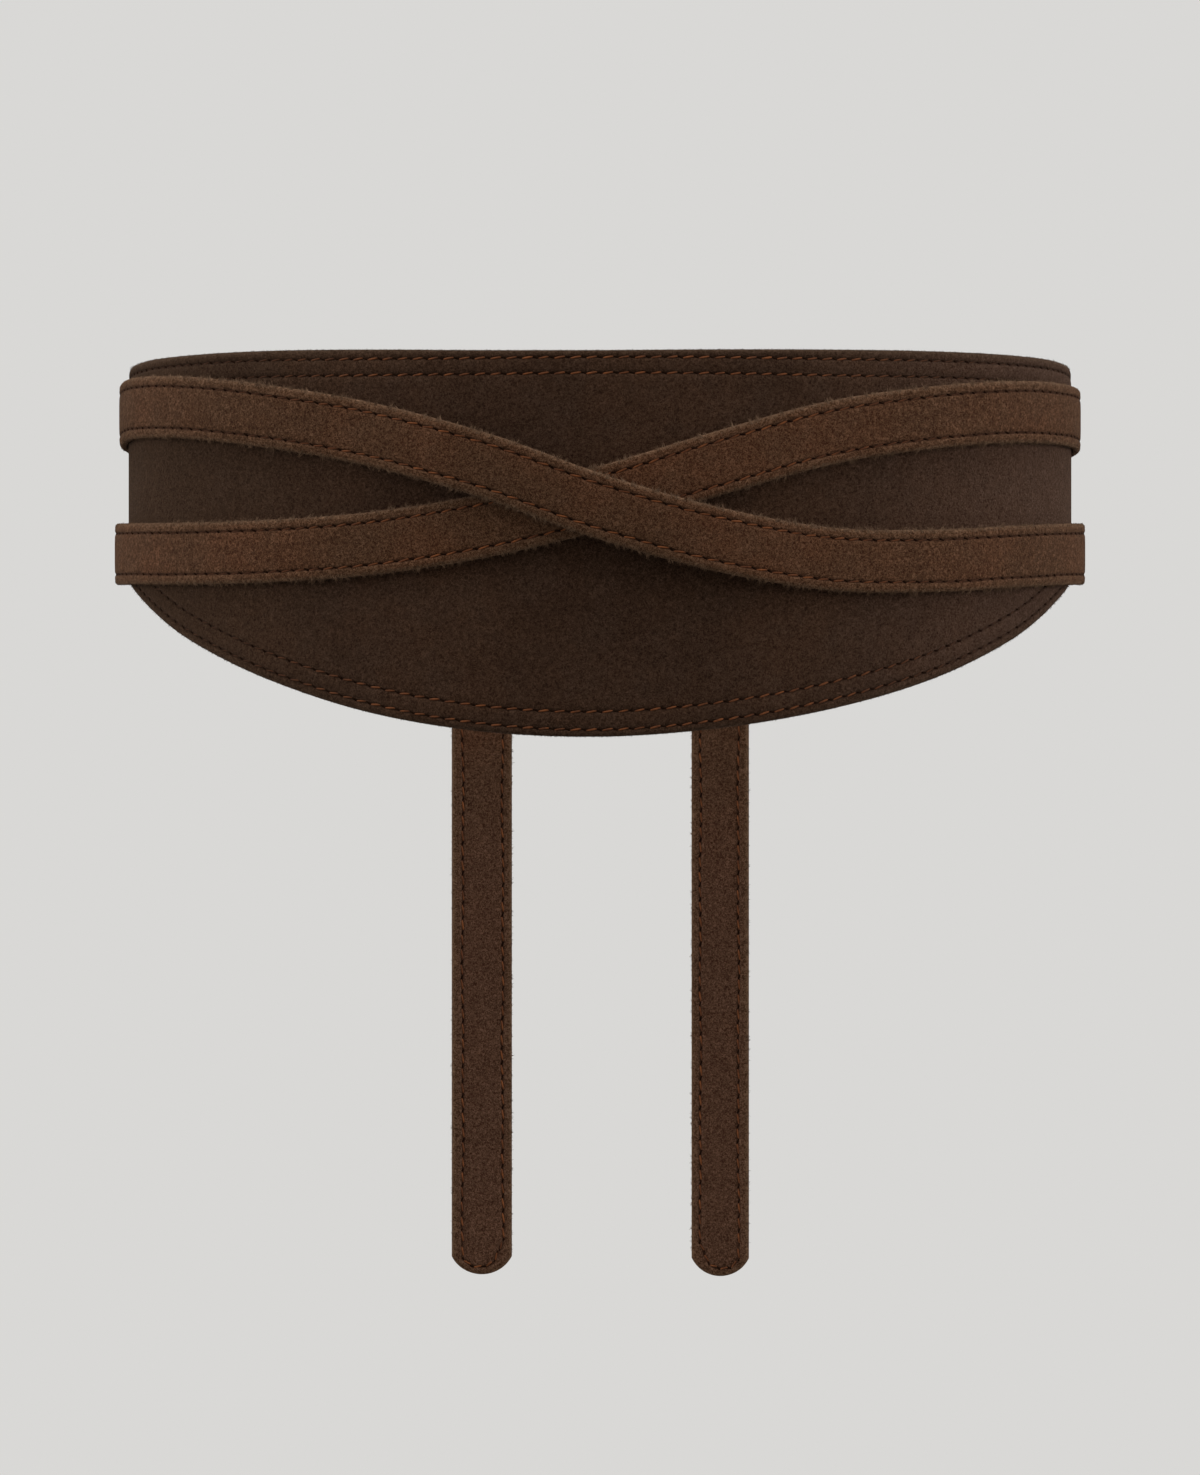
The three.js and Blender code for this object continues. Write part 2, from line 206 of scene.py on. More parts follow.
def skin_mesh(name, sections, from_edge, in_groove):
    """A closed wall from rings of points, one ring for each station, with how leather is worked there."""
    stations, around = sections.shape[:2]
    ring = np.arange(around)
    start = np.arange(stations - 1)[:, None] * around
    after = np.roll(ring, -1)
    walls = np.stack([start + ring, start + around + ring, start + around + after, start + after], axis=-1)
    mesh = bpy.data.meshes.new(name)
    last = (stations - 1) * around
    faces = walls.reshape(-1, 4).tolist()
    half = around // 2
    for j in range(half):
        a, b, c, d = j, (j + 1) % around, (around - 2 - j) % around, (around - 1 - j) % around
        if len({a, b, c, d}) == 4 and b < c:
            faces.append([a, b, c, d])
            faces.append([last + d, last + c, last + b, last + a])
    mesh.from_pydata(sections.reshape(-1, 3).tolist(), [], faces)
    for layer_name, values in (("from_edge", from_edge), ("in_groove", in_groove)):
        layer = mesh.attributes.new(layer_name, "FLOAT", "POINT")
        layer.data.foreach_set("value", np.broadcast_to(values, (stations, around)).ravel())
    mesh.polygons.foreach_set("use_smooth", [True] * len(mesh.polygons))
    mesh.validate()
    mesh.update()
    return add_piece(name, mesh)


def node(tree, kind, **settings):
    made = tree.nodes.new(kind)
    for key, value in settings.items():
        if key in made.inputs:
            made.inputs[key].default_value = value
        else:
            setattr(made, key, value)
    return made


def start_material(name, roughness, specular):
    """A matt material, with its tree, its shader and the place on the sash that its patterns follow."""
    material = bpy.data.materials.new(name)
    material.use_nodes = True
    tree = material.node_tree
    shader = tree.nodes["Principled BSDF"]
    shader.inputs["Roughness"].default_value = roughness
    shader.inputs["Specular IOR Level"].default_value = specular
    return material, tree, shader, node(tree, "ShaderNodeTexCoord").outputs["Object"]


def noise(tree, where, scale, detail, roughness, swirl=0.0):
    made = node(tree, "ShaderNodeTexNoise", Scale=scale, Detail=detail, Roughness=roughness,
                Distortion=swirl)
    tree.links.new(where, made.inputs["Vector"])
    return made.outputs["Fac"]


def between(tree, value, low, high, to_low, to_high):
    made = node(tree, "ShaderNodeMapRange")
    for socket, number in zip(("From Min", "From Max", "To Min", "To Max"), (low, high, to_low, to_high)):
        made.inputs[socket].default_value = number
    tree.links.new(value, made.inputs["Value"])
    return made.outputs["Result"]


def blend_colours(tree, share, first, second, how="MIX"):
    made = node(tree, "ShaderNodeMix", data_type="RGBA", blend_type=how)
    for socket, source in ((0, share), (6, first), (7, second)):
        if isinstance(source, bpy.types.NodeSocket):
            tree.links.new(source, made.inputs[socket])
        elif isinstance(source, tuple):
            made.inputs[socket].default_value = (*source, 1.0)
        else:
            made.inputs[socket].default_value = source
    return made.outputs[2]


def by_place(tree, where, colour, axis, low, high, share, tone):
    """Shades a colour towards a tone along one axis of the sash."""
    apart = node(tree, "ShaderNodeSeparateXYZ")
    tree.links.new(where, apart.inputs[0])
    return blend_colours(tree, between(tree, apart.outputs[axis], low, high, 0.0, share), colour, tone)


# The fleck of single fibres: the noise value at its middle, and how far to each side it is in full
FLECK_MIDDLE = 0.51
FLECK_SPREAD = 0.13


def suede(name, tones, sheen_weight, nap_depth):
    """Suede: patches of brushed nap, fine fibres, lighter raw edges, and painted shade that darkens the
    stitch grooves.
    """
    material, tree, shader, where = start_material(name, roughness=0.95, specular=0.04)
    patches = noise(tree, where, scale=26.0, detail=2.0, roughness=0.55)
    brushed = between(tree, patches, 0.4, 0.6, 0.0, 1.0)
    clouds = noise(tree, where, scale=110.0, detail=3.0, roughness=0.6)
    cloudy = between(tree, clouds, 0.42, 0.66, 0.0, 0.45)
    colour = blend_colours(tree, brushed, tones["base"], tones["warm"])
    colour = blend_colours(tree, cloudy, colour, tones["grey"])
    # Tones by place from the table; some rows are painted light and shade on one side of the sash
    for region in tones["by_place"]:
        colour = by_place(tree, where, colour, *region)

    from_edge = node(tree, "ShaderNodeAttribute", attribute_name="from_edge").outputs["Fac"]
    raw_edge = between(tree, from_edge, 0.0002, 0.0011, 0.9, 0.0)
    colour = blend_colours(tree, raw_edge, colour, tones["edge"])
    outside_stitches = between(tree, from_edge, 0.0020, 0.0030, tones["border"], 0.0)
    colour = blend_colours(tree, outside_stitches, colour, tones["edge"])

    fibres = noise(tree, where, scale=1750.0, detail=4.0, roughness=0.8, swirl=1.2)
    streaks = noise(tree, where, scale=560.0, detail=3.0, roughness=0.7, swirl=0.8)
    spread = FLECK_SPREAD / tones["grain"]
    fleck = between(tree, fibres, FLECK_MIDDLE - spread, FLECK_MIDDLE + spread, 0.0, 1.0)
    shade = between(tree, streaks, 0.36, 0.64, 0.0, 1.0)
    fleck_tint = blend_colours(tree, fleck, (0.40, 0.32, 0.24), (1.62, 1.70, 1.80))
    shade_tint = blend_colours(tree, shade, (0.88, 0.86, 0.83), (1.13, 1.15, 1.18))
    colour = blend_colours(tree, 1.0, colour, fleck_tint, how="MULTIPLY")
    colour = blend_colours(tree, 1.0, colour, shade_tint, how="MULTIPLY")

    # Towards the sides the nap is ruffled into small curls, much more on the straps than on the panel
    curls = noise(tree, where, scale=800.0, detail=2.0, roughness=0.6, swirl=0.7)
    curled = between(tree, curls, 0.42, 0.60, 0.0, 1.0)
    curl_tint = blend_colours(tree, curled, tones["curl_low"], tones["curl_high"])
    for side in (-1.0, 1.0):
        ruffled = by_place(tree, where, (1.0, 1.0, 1.0), "X", side * 0.035, side * 0.080, 1.0, curl_tint)
        colour = blend_colours(tree, 1.0, colour, ruffled, how="MULTIPLY")

    # Painted shade: the stitch grooves are darkened towards the groove tone
    in_groove = node(tree, "ShaderNodeAttribute", attribute_name="in_groove").outputs["Fac"]
    groove = between(tree, in_groove, 0.1, 0.9, 0.0, 0.8)
    colour = blend_colours(tree, groove, colour, tones["groove"])
    tree.links.new(colour, shader.inputs["Base Color"])

    height = node(tree, "ShaderNodeMath", operation="MULTIPLY_ADD")
    height.inputs[1].default_value = 0.5
    tree.links.new(streaks, height.inputs[0])
    tree.links.new(fibres, height.inputs[2])
    bump = node(tree, "ShaderNodeBump", Strength=0.9, Distance=nap_depth)
    tree.links.new(height.outputs[0], bump.inputs["Height"])
    tree.links.new(bump.outputs["Normal"], shader.inputs["Normal"])
    shader.inputs["Sheen Weight"].default_value = sheen_weight
    shader.inputs["Sheen Roughness"].default_value = 0.5
    shader.inputs["Sheen Tint"].default_value = (*tones["sheen"], 1.0)
    return material


panel_arcs = np.linspace(-PANEL_END, PANEL_END, int(2 * PANEL_END / PANEL_STEP) + 1)
inside_shares = np.linspace(0.0, 1.0, PANEL_INSIDE_STEPS + 2)[1:-1]
# Each row: share of the height, way in from the edge, layer, distance from the edge, 1 between the rims
panel_ring = np.concatenate([
    [(0.0, inset, PANEL_THICKNESS - press, inset, 0) for inset, press in PANEL_OUTER_RIM[::-1]],
    [(share, 0.0, PANEL_THICKNESS, PANEL_RIM_DEPTH, 1) for share in inside_shares],
    [(1.0, inset, PANEL_THICKNESS - press, inset, 0) for inset, press in PANEL_OUTER_RIM],
    [(1.0, inset, press, inset, 0) for inset, press in PANEL_INNER_RIM],
    [(share, 0.0, 0.0, PANEL_RIM_DEPTH, 1) for share in inside_shares[::-3]],
    [(0.0, inset, press, inset, 0) for inset, press in PANEL_INNER_RIM[::-1]],
])
ring_share, ring_inset, ring_layer, ring_from_edge, ring_inside = panel_ring.T
arc_of_ring = np.broadcast_to(panel_arcs[:, None], (len(panel_arcs), len(panel_ring)))
at_rims = panel_height(arc_of_ring, ring_share, ring_inset)
low_rim = panel_height(panel_arcs, 0.0, PANEL_RIM_DEPTH)[:, None]
high_rim = panel_height(panel_arcs, 1.0, PANEL_RIM_DEPTH)[:, None]
ring_heights = np.where(ring_inside > 0, low_rim + (high_rim - low_rim) * ring_share, at_rims)
panel_points = on_waist(arc_of_ring, ring_heights, ring_layer)
# Where the panel's stitch grooves get painted shade, on its outer face only
ring_groove = sum(np.exp(-((ring_from_edge - inset) / STITCH_GROOVE_WIDTH) ** 2)
                  for inset in (OUTER_ROW, INNER_ROW))
ring_groove = np.where(ring_layer > PANEL_THICKNESS / 2, ring_groove, 0.0)
panel = skin_mesh("suede_panel", panel_points, ring_from_edge, ring_groove)
dark_suede = suede("dark suede", {
    "base": (0.0296, 0.0150, 0.0084),
    "warm": (0.0364, 0.0182, 0.0100),
    "grey": (0.0350, 0.0198, 0.0124),
    # Each row: axis, where the shading starts and is full, its share there, its tone. The first row is
    # painted light, lighter and greyer towards the right side; the second is painted shade, darker towards
    # the left side.
    "by_place": [("X", 0.055, 0.125, 0.55, (0.0560, 0.0310, 0.0215)),
                 ("X", -0.06, -0.125, 0.5, (0.0250, 0.0140, 0.0072))],
    "grain": 1.35,
    "edge": (0.0370, 0.0215, 0.0130),
    # Painted shade for the stitch grooves
    "groove": (0.0100, 0.0042, 0.0020),
    "border": 0.10,
    "curl_low": (0.96, 0.95, 0.94),
    "curl_high": (1.04, 1.05, 1.06),
    "sheen": (0.90, 0.62, 0.45),
}, sheen_weight=0.05, nap_depth=0.00025)
panel.data.materials.append(dark_suede)
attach(panel, "root")
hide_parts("panel")


# The panel's stitches: two rows along its top edge and two along its lower edge, in rust-brown thread.
# Each is a short twisted length that rises out of one needle hole and goes down the next, on a slant.
STITCH_PITCH = 0.0041
THREAD_RADIUS = 0.00029
THREAD_SIDES = 6
THREAD_SEGMENTS = 6
THREAD_RISE = 0.00006
THREAD_SINK = 0.00035
THREAD_SLANT = 0.00040
THREAD_SHARE = 0.78
THREAD_END_SHARE = 0.65
ARCH_POWER = 0.6
# How far over the thread a second point is taken, to find which way is out
OUT_STEP = 0.0001
# Each needle hole is a small dark cap over the leather: painted shade standing in for the hole
HOLE_HALF_LENGTH = 0.00085
HOLE_HALF_WIDTH = 0.00027
HOLE_LEAN = 0.42
HOLE_SIDES = 8
HOLE_RIM_LIFT = 0.00002
HOLE_DOME_LIFT = 0.00010
HOLE_FOOT_LIFT = -0.0002
# No two stitches are alike. Each pair: least and most of a random draw
SINK_DRAW = (-0.00004, 0.00006)
THICKNESS_DRAW = (0.88, 1.06)
HOLE_LENGTH_DRAW = (0.65, 1.05)
HOLE_WIDTH_DRAW = (0.6, 1.05)
# How far from the sash's middle the leather begins to bend round the sides, and how much further it is
# bent in full; there the thread lies deeper and thinner
BEND_START = 0.065
BEND_REACH = 0.045
SUNK_AT_SIDES = 0.00016
THINNER_AT_SIDES = 0.35


def thread_material(name, lit, deep, painted_side_shade):
    """Thread with a fine twist, worn in places, and with painted shade that darkens it where the sash bends
    round the sides.
    """
    material, tree, shader, where = start_material(name, roughness=0.8, specular=0.1)
    wear = noise(tree, where, scale=420.0, detail=3.0, roughness=0.6)
    worn = between(tree, wear, 0.35, 0.65, 0.0, 1.0)
    colour = blend_colours(tree, worn, deep, lit)
    # Painted shade: the thread is darker towards both sides
    for side in (-1.0, 1.0):
        colour = by_place(tree, where, colour, "X", side * 0.046, side * 0.090, 0.85, painted_side_shade)
    tree.links.new(colour, shader.inputs["Base Color"])
    twist = noise(tree, where, scale=3600.0, detail=2.0, roughness=0.6)
    bump = node(tree, "ShaderNodeBump", Strength=0.7, Distance=0.0001)
    tree.links.new(twist, bump.inputs["Height"])
    tree.links.new(bump.outputs["Normal"], shader.inputs["Normal"])
    return material


def hole_shade_material(name, colour):
    """Painted shade for a needle hole: a dark colour standing in for the shade inside it, with lighter
    frayed places.
    """
    material, tree, shader, where = start_material(name, roughness=1.0, specular=0.0)
    fray = noise(tree, where, scale=2400.0, detail=2.0, roughness=0.6)
    frayed = between(tree, fray, 0.3, 0.7, 0.0, 1.0)
    lighter = tuple(2.2 * part for part in colour)
    tree.links.new(blend_colours(tree, frayed, colour, lighter), shader.inputs["Base Color"])
    return material


def unit(vectors):
    return vectors / np.linalg.norm(vectors, axis=-1, keepdims=True)


def stitch_mesh(name, place, holes, rise, slant):
    """Threads, and dark caps of painted shade at the needle holes, along rows of holes. place(a, b, lift)
    gives a point on the leather.
    """
    draw = np.random.default_rng(seed=len(holes) + len(holes[0]))
    from_holes = np.concatenate([row[:-1] for row in holes])
    to_holes = np.concatenate([row[1:] for row in holes])
    middles = (from_holes + to_holes) / 2
    to_side = np.abs(place(middles[:, 0], middles[:, 1], 0.0)[:, 0])
    bent = np.clip((to_side - BEND_START) / BEND_REACH, 0.0, 1.0)
    sunk = bent * SUNK_AT_SIDES + draw.uniform(*SINK_DRAW, len(middles))
    thickness = (1.0 - bent * THINNER_AT_SIDES) * draw.uniform(*THICKNESS_DRAW, len(middles))
    runs = to_holes - from_holes
    aside = unit(np.stack([-runs[:, 1], runs[:, 0]], axis=-1))
    t = 0.5 + np.linspace(-0.5, 0.5, THREAD_SEGMENTS + 1) * THREAD_SHARE
    on_row = from_holes[:, None] + runs[:, None] * t[None, :, None]
    on_row = on_row + aside[:, None] * ((t - 0.5) * 2 * slant)[None, :, None]
    arch = np.sin(np.pi * (t - t[0]) / (t[-1] - t[0]))
    lift = arch**ARCH_POWER * (rise - sunk[:, None] + THREAD_SINK) - THREAD_SINK
    centres = place(on_row[..., 0], on_row[..., 1], lift)
    above = place(on_row[..., 0], on_row[..., 1], lift + OUT_STEP)
    out = unit(above - centres)
    ahead = unit(np.gradient(centres, axis=1))
    side = unit(np.cross(ahead, out))
    up = np.cross(side, ahead)
    turn = np.linspace(0.0, 2 * np.pi, THREAD_SIDES, endpoint=False)
    share_of_radius = THREAD_END_SHARE + (1 - THREAD_END_SHARE) * arch
    radius = THREAD_RADIUS * (share_of_radius * thickness[:, None])[:, :, None, None]
    wheel = (np.cos(turn)[None, None, :, None] * side[:, :, None]
             + np.sin(turn)[None, None, :, None] * up[:, :, None])
    rings = centres[:, :, None] + radius * wheel
    count, along = rings.shape[0], rings.shape[1]
    index = np.arange(count * along * THREAD_SIDES).reshape(count, along, THREAD_SIDES)
    nearer, further = index[:, :-1], index[:, 1:]
    tubes = np.stack([nearer, np.roll(nearer, -1, 2), np.roll(further, -1, 2), further], axis=-1)
    ends = [index[:, 0, ::-1], index[:, -1]]

    # The needle holes: dark caps of painted shade
    spots = np.concatenate(holes)
    next_spots = np.concatenate([np.concatenate([row[1:], row[-1:] * 2 - row[-2:-1]]) for row in holes])
    run = unit(next_spots - spots)
    lean = unit(run + np.stack([run[:, 1], -run[:, 0]], axis=-1) * HOLE_LEAN * np.sign(slant))
    across = np.stack([-lean[:, 1], lean[:, 0]], axis=-1)
    hole_turn = np.linspace(0.0, 2 * np.pi, HOLE_SIDES, endpoint=False)
    long_way = HOLE_HALF_LENGTH * draw.uniform(*HOLE_LENGTH_DRAW, (len(spots), 1))
    short_way = HOLE_HALF_WIDTH * draw.uniform(*HOLE_WIDTH_DRAW, (len(spots), 1))
    rim = (spots[:, None] + lean[:, None] * (np.cos(hole_turn) * long_way)[..., None]
           + across[:, None] * (np.sin(hole_turn) * short_way)[..., None])
    rims = place(rim[..., 0], rim[..., 1], HOLE_RIM_LIFT)
    domes = place(spots[:, 0], spots[:, 1], HOLE_DOME_LIFT)
    feet = place(spots[:, 0], spots[:, 1], HOLE_FOOT_LIFT)
    first_rim = rings[..., 0].size
    rim_index = first_rim + np.arange(len(spots) * HOLE_SIDES).reshape(-1, HOLE_SIDES)
    dome_index = first_rim + rim_index.size + np.arange(len(spots))
    foot_index = dome_index + len(spots)
    next_index = np.roll(rim_index, -1, 1)
    fans = [np.stack(np.broadcast_arrays(first, second, middle[:, None]), axis=-1)
            for first, second, middle in ((rim_index, next_index, dome_index),
                                          (next_index, rim_index, foot_index))]
    points = np.concatenate([rings.reshape(-1, 3), rims.reshape(-1, 3), domes, feet])
    faces = tubes.reshape(-1, 4).tolist()
    for end in ends:
        faces += end.reshape(-1, THREAD_SIDES).tolist()
    thread_faces = len(faces)
    for fan in fans:
        faces += fan.reshape(-1, 3).tolist()
    mesh = bpy.data.meshes.new(name)
    mesh.from_pydata(points.tolist(), [], faces)
    materials = [0] * thread_faces + [1] * (len(faces) - thread_faces)
    mesh.polygons.foreach_set("material_index", materials)
    mesh.polygons.foreach_set("use_smooth", [True] * len(faces))
    mesh.update()
    return add_piece(name, mesh)


def evenly(curve, pitch):
    """Cuts a finely drawn flat curve into equal steps of about one pitch."""
    lengths = np.concatenate([[0.0], np.cumsum(np.linalg.norm(np.diff(curve, axis=0), axis=1))])
    count = int(round(lengths[-1] / pitch))
    at = np.linspace(0.0, lengths[-1], count + 1)
    return np.stack([np.interp(at, lengths, curve[:, 0]), np.interp(at, lengths, curve[:, 1])], axis=-1)


def panel_row(top, inset):
    """One row of stitches along the top or lower edge, as arc length and height."""
    arcs = np.linspace(-PANEL_END + inset, PANEL_END - inset, 1200)
    heights = panel_height(arcs, float(top), inset)
    return evenly(np.stack([arcs, heights], axis=-1), STITCH_PITCH)


def on_panel_outside(arc, height, lift):
    """A point over the panel's pressed face; the press is read from the distance to the nearer edge."""
    nearest = PANEL_RIM_DEPTH
    for share in (0.0, 1.0):
        marks = [panel_height(arc, share, inset) for inset in (0.0, OUTER_ROW, INNER_ROW)]
        inward = np.abs(height - marks[0])
        outer, inner = np.abs(marks[1] - marks[0]), np.abs(marks[2] - marks[0])
        inset = np.where(inward < outer, inward / outer * OUTER_ROW,
                         OUTER_ROW + (inward - outer) / (inner - outer) * (INNER_ROW - OUTER_ROW))
        nearest = np.minimum(nearest, inset)
    press = np.interp(nearest, *PANEL_OUTER_RIM[::-1].T)
    return on_waist(arc, height, PANEL_THICKNESS - press + lift)


def on_panel_inside(arc, height, lift):
    return on_waist(arc, height, -lift)


panel_rows = [panel_row(top, inset) for top in (True, False) for inset in (OUTER_ROW, INNER_ROW)]
# The last colour is painted shade for the thread at the sides
rust_thread = thread_material("rust thread", (0.140, 0.045, 0.0145), (0.060, 0.021, 0.0085),
                              (0.0300, 0.0130, 0.0060))
needle_hole_shade = hole_shade_material("needle hole", (0.0065, 0.0030, 0.0016))
panel_stitches = stitch_mesh("panel_stitches", on_panel_outside, panel_rows, THREAD_RISE, THREAD_SLANT)
panel_back_stitches = stitch_mesh("panel_back_stitches", on_panel_inside, panel_rows, THREAD_RISE,
                                  -THREAD_SLANT)
for piece in (panel_stitches, panel_back_stitches):
    piece.data.materials.append(rust_thread)
    piece.data.materials.append(needle_hole_shade)
    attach(piece, "root")


# The raw fibres along the panel's cut edges: short brown hairs of the leather itself.
EDGE_HAIR_THICKNESS = 0.00014


def hair_mesh(name, roots, directions, lengths):
    """Short tapering hairs, each a slim three-sided spike."""
    aim = unit(directions)
    sideways = unit(np.cross(aim, np.array([0.31, 0.52, 0.79])))
    other = np.cross(aim, sideways)
    turn = np.linspace(0.0, 2 * np.pi, 3, endpoint=False)
    base = (np.cos(turn)[None, :, None] * sideways[:, None] + np.sin(turn)[None, :, None] * other[:, None])
    base = roots[:, None] + base * EDGE_HAIR_THICKNESS / 2
    tips = roots + aim * lengths[:, None]
    points = np.concatenate([base, tips[:, None]], axis=1)
    first = np.arange(len(roots))[:, None] * 4
    spike = np.array([[0, 1, 3], [1, 2, 3], [2, 0, 3], [0, 2, 1]])
    mesh = bpy.data.meshes.new(name)
    faces = (first[:, None] + spike[None]).reshape(-1, 3)
    mesh.from_pydata(points.reshape(-1, 3).tolist(), [], faces.tolist())
    mesh.update()
    return add_piece(name, mesh)


def hair_material(name, colour, pale):
    """Loose fibres, some of them paler."""
    material, tree, shader, where = start_material(name, roughness=0.9, specular=0.1)
    mix = noise(tree, where, scale=900.0, detail=2.0, roughness=0.5)
    mixed = between(tree, mix, 0.35, 0.65, 0.0, 1.0)
    tree.links.new(blend_colours(tree, mixed, colour, pale), shader.inputs["Base Color"])
    return material


PANEL_HAIRS = 9000
PANEL_HAIR_LAYERS = (0.0004, PANEL_THICKNESS - 0.0003)
PANEL_HAIR_LENGTHS = (0.00015, 0.0005)
PANEL_HAIR_STRAY = 0.55
HAIR_ROOT_SUNK = 0.0001
HAIR_AIM_STEP = 0.001
draw = np.random.default_rng(seed=11)
hair_arcs = draw.uniform(-PANEL_END, PANEL_END, PANEL_HAIRS)
hair_edges = (draw.random(PANEL_HAIRS) < 0.5).astype(float)
hair_layers = draw.uniform(*PANEL_HAIR_LAYERS, PANEL_HAIRS)
hair_roots = panel_place(hair_arcs, hair_edges, HAIR_ROOT_SUNK, hair_layers)
outwards = panel_place(hair_arcs, hair_edges, -HAIR_AIM_STEP, hair_layers)
hair_aim = unit(outwards - hair_roots) + draw.normal(0.0, PANEL_HAIR_STRAY, (PANEL_HAIRS, 3))
hair_lengths = draw.uniform(*PANEL_HAIR_LENGTHS, PANEL_HAIRS)
panel_hairs = hair_mesh("panel_edge_nap", hair_roots, hair_aim, hair_lengths)
dark_nap = hair_material("dark nap", (0.030, 0.018, 0.011), (0.065, 0.043, 0.028))
panel_hairs.data.materials.append(dark_nap)
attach(panel_hairs, "root")


# The straps: two long strips of mid-brown suede, 16 mm wide and 2.2 mm thick, sewn to the panel's ends.
# Each goes round the back, crosses the front, goes round again, turns down in a fold and hangs as a tail.
STRAP_THICKNESS = 0.0022
STRAP_HALF_WIDTH = 0.008
STRAP_STEP = 0.001
FINE_STEP = 0.0003
SLOPE_STEP = 0.001
STRAP_SEAM_GAP = 0.0001
FOLD_RADIUS = 0.0014
FOLD_HEIGHT = -0.0005
FOLD_SHEAR_LENGTH = 0.024
FOLD_STEPS = 14
TAIL_TIP_HEIGHT = -0.1983
TAIL_END_RADIUS = 0.0089
TAIL_END_STEPS = 16
# Near its tip a tail's wall has finer lines, up to just short of the tip, and its columns spread evenly
TAIL_LAST_ANGLE = 0.06
TAIL_FINE_LENGTH = 0.0125
COLUMNS_SPREAD_OVER = 0.006
EVEN_COLUMNS_END = 0.0076
STRAP_STITCH_ACROSS = 0.0054
STRAP_STITCH_START = 0.0020
STRAP_GROOVE_WIDTH = 0.00035
TAIL_END_PITCH = 0.75 * STITCH_PITCH
# Each row: how far a stitch row wavers, its turn per metre of strap, and its phase, opposite on each side
ROW_WAVERS = ((0.00009, 190, 1), (0.00007, 83, 2))
WAVER_AT_FRONT = 0.4
WAVER_GROWS_OVER = 0.02
JOINT_STITCH_HOLES = 13
JOINT_STITCH_REACH = 0.0020
JOINT_STITCH_HALF = 0.0066
# How much further than the joint's stitches the thread is still sunk, to take in their ends
JUST_PAST = 0.0001
LAYER_BUTTED = 0.0001
LAYER_ON_PANEL = 0.0027
LAYER_ON_STRAP = 0.0052
LAYER_PUSHED_OUT = 0.0039
STRAP_START = PANEL_END + STRAP_SEAM_GAP - CIRCUMFERENCE
# Lengths along a strap are counted so that both straps fold at the same length, as if the fold were
# at the centre of the back. Each strap's slide then gives its arc round the waist.
FOLD_ARC = CIRCUMFERENCE / 2 - math.pi * FOLD_RADIUS / math.sqrt(2)
FOLD_END = FOLD_ARC + math.sqrt(2) * math.pi * FOLD_RADIUS
TAIL_TIP = FOLD_ARC + FOLD_HEIGHT + math.pi * FOLD_RADIUS / math.sqrt(2) - TAIL_TIP_HEIGHT
# Across the strap from its centre line, where the mesh has its points
FACE_COLUMNS = np.array([0.0, 0.0011, 0.0022, 0.0033, 0.0041, 0.0046, 0.00495, 0.0052, 0.0054, 0.0056,
                         0.00585, 0.0062, 0.0067, 0.0072, 0.0076, 0.00785, 0.0080])
INSIDE_COLUMNS = np.array([0.0080, 0.0077, 0.0071, 0.0062, 0.0056, 0.0052, 0.0026, 0.0])
# How far the leather is pressed in: by the distance from its cut edge, and from the middle of a stitch row
STRAP_EDGE_PRESS = np.array([(0.0, 0.00080), (0.00015, 0.00050), (0.0004, 0.00028), (0.0008, 0.00013),
                             (0.0013, 0.00005), (0.0018, 0.0)])
STRAP_INSIDE_PRESS = np.array([(0.0, 0.00025), (0.0003, 0.00010), (0.0009, 0.00003), (0.0018, 0.0)])
STRAP_GROOVE_PRESS = np.array([(0.0, 0.00042), (0.0002, 0.00030), (0.00045, 0.00012), (0.0008, 0.00005),
                               (0.0026, 0.0)])
# The stitches round a tail's end: distance up from its tip, and across towards the body's middle
TAIL_END_CORNERS = np.array([(0.0044, -0.0053), (0.0022, -0.0028), (0.0022, 0.0008), (0.0030, 0.0028),
                             (0.0094, 0.0056)])


def eased_curve(knots, values, at):
    """Level stretches with an eased ramp between the rows that differ."""
    i = np.clip(np.searchsorted(knots, at) - 1, 0, len(knots) - 2)
    t = np.clip((at - knots[i]) / (knots[i + 1] - knots[i]), 0.0, 1.0)
    return values[i] + (values[i + 1] - values[i]) * t * t * (3 - 2 * t)


def strap_place(strap, along, across, depth):
    """A point of a strap: along its length, up from its centre line, out from its inner face."""
    route, layers, slide = strap["route"], strap["layers"], strap["slide"]
    on_route = along + slide
    rise = smooth_curve(*route.T, on_route + SLOPE_STEP) - smooth_curve(*route.T, on_route - SLOPE_STEP)
    slope = np.arctan2(rise, 2 * SLOPE_STEP)
    flat_arc = on_route - across * np.sin(slope)
    flat_height = smooth_curve(*route.T, on_route) + across * np.cos(slope)
    flat_layer = eased_curve(*layers.T, on_route) + depth

    past = (along - FOLD_ARC + across) / math.sqrt(2)
    sideways = (along - FOLD_ARC - across) / math.sqrt(2)
    turn = np.clip(past / FOLD_RADIUS, 0.0, math.pi)
    from_middle = strap["fold_side"] * (depth - STRAP_THICKNESS / 2)
    over = ((FOLD_RADIUS - from_middle) * np.sin(turn)
            - np.maximum(past - math.pi * FOLD_RADIUS, 0.0))
    lift = FOLD_RADIUS - (FOLD_RADIUS - from_middle) * np.cos(turn)
    fold_layer = (eased_curve(*layers.T, FOLD_ARC + slide) + STRAP_THICKNESS / 2
                  + strap["fold_side"] * lift)
    folded = along + across > FOLD_ARC
    arc = np.where(folded, FOLD_ARC + slide + (sideways + over) / math.sqrt(2), flat_arc)
    height = np.where(folded, FOLD_HEIGHT + (over - sideways) / math.sqrt(2), flat_height)
    layer = np.where(folded, fold_layer, flat_layer)
    return on_waist(strap["direction"] * arc, height, layer)


